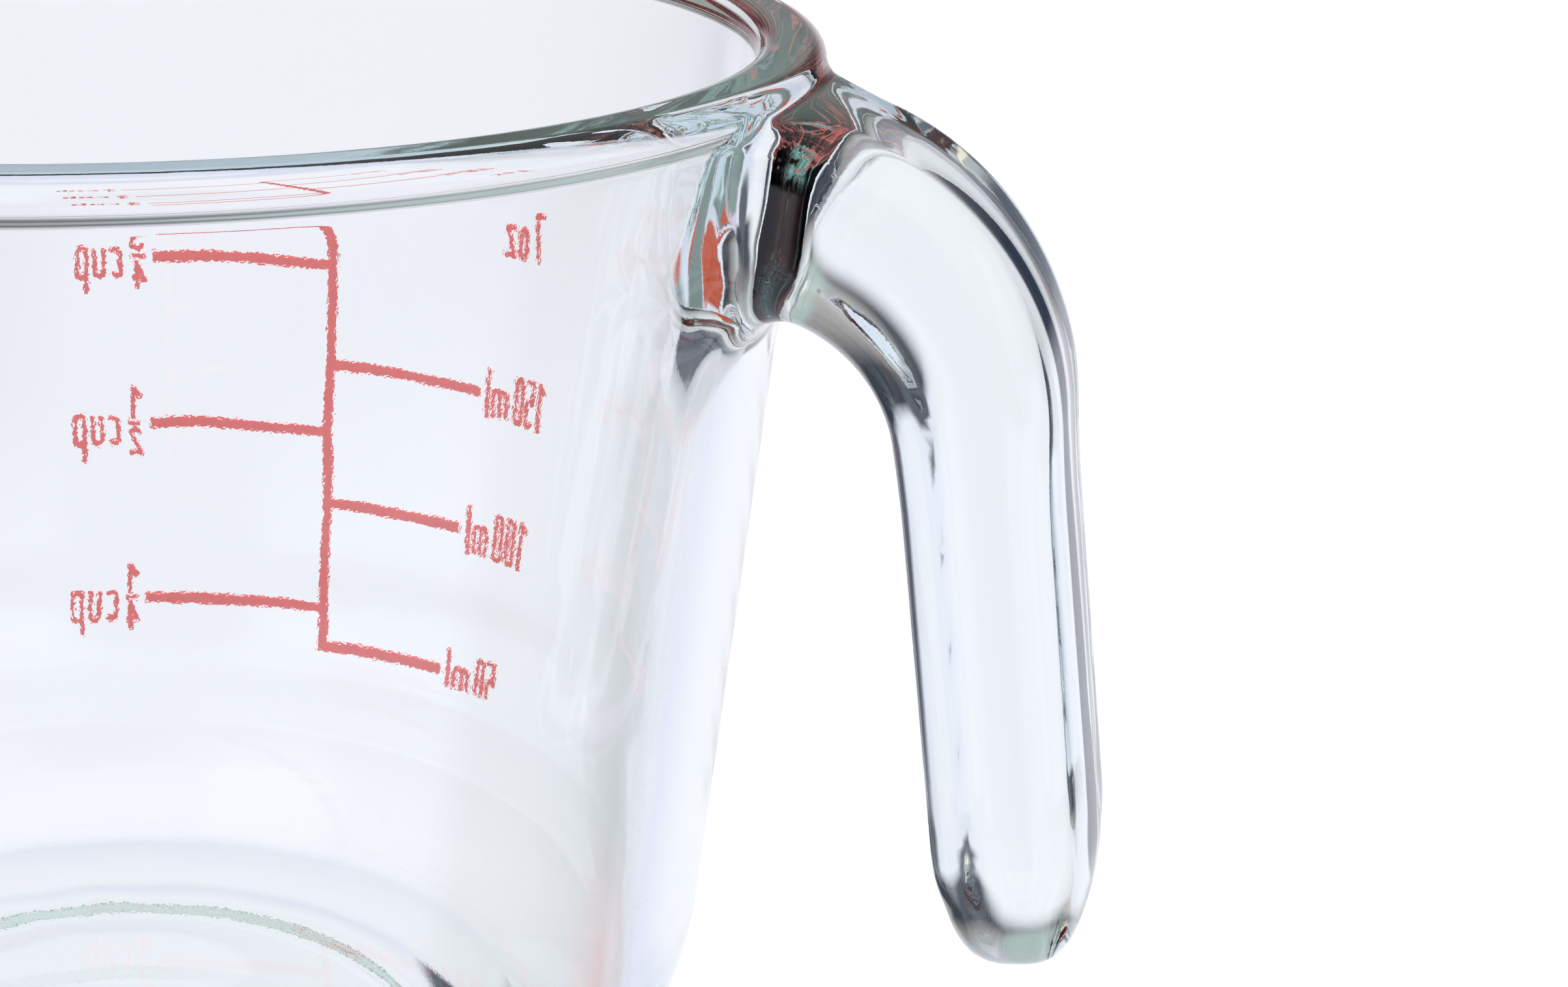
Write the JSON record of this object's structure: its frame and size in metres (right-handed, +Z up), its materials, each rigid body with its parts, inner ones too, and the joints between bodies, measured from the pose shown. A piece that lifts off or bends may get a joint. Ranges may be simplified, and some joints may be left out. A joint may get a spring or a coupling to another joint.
{
  "type": "measuring jug",
  "caption": "Clear pressed-glass measuring jug with a tapered round bowl, beaded rim, pouring lip, open hook handle and printed red volume scales.",
  "frame": {"origin": "on the axis of the bowl, in the plane of the table that the foot ring stands on", "axes": "+Z up along the axis of the bowl, +X towards the handle, -X towards the pouring lip, the millilitre and cup scale on the +Y side"},
  "size_m": [0.1209, 0.0938, 0.0744],
  "materials": {
    "clear_glass": "gloss",
    "red_enamel": "gloss"
  },
  "bodies": {
    "root": {"foot_ring": "clear_glass", "base": "clear_glass", "heel": "clear_glass", "wall": "clear_glass", "rim": "clear_glass", "pouring_lip": "clear_glass", "handle_root": "clear_glass", "handle_grip": "clear_glass", "scale_upright": "red_enamel", "millilitre_lines": "red_enamel", "millilitre_figures": "red_enamel", "top_line": "red_enamel", "top_figures": "red_enamel", "cup_lines": "red_enamel", "cup_figures": "red_enamel", "ounce_upright": "red_enamel", "ounce_lines": "red_enamel", "ounce_figures": "red_enamel"}
  },
  "joints": []
}
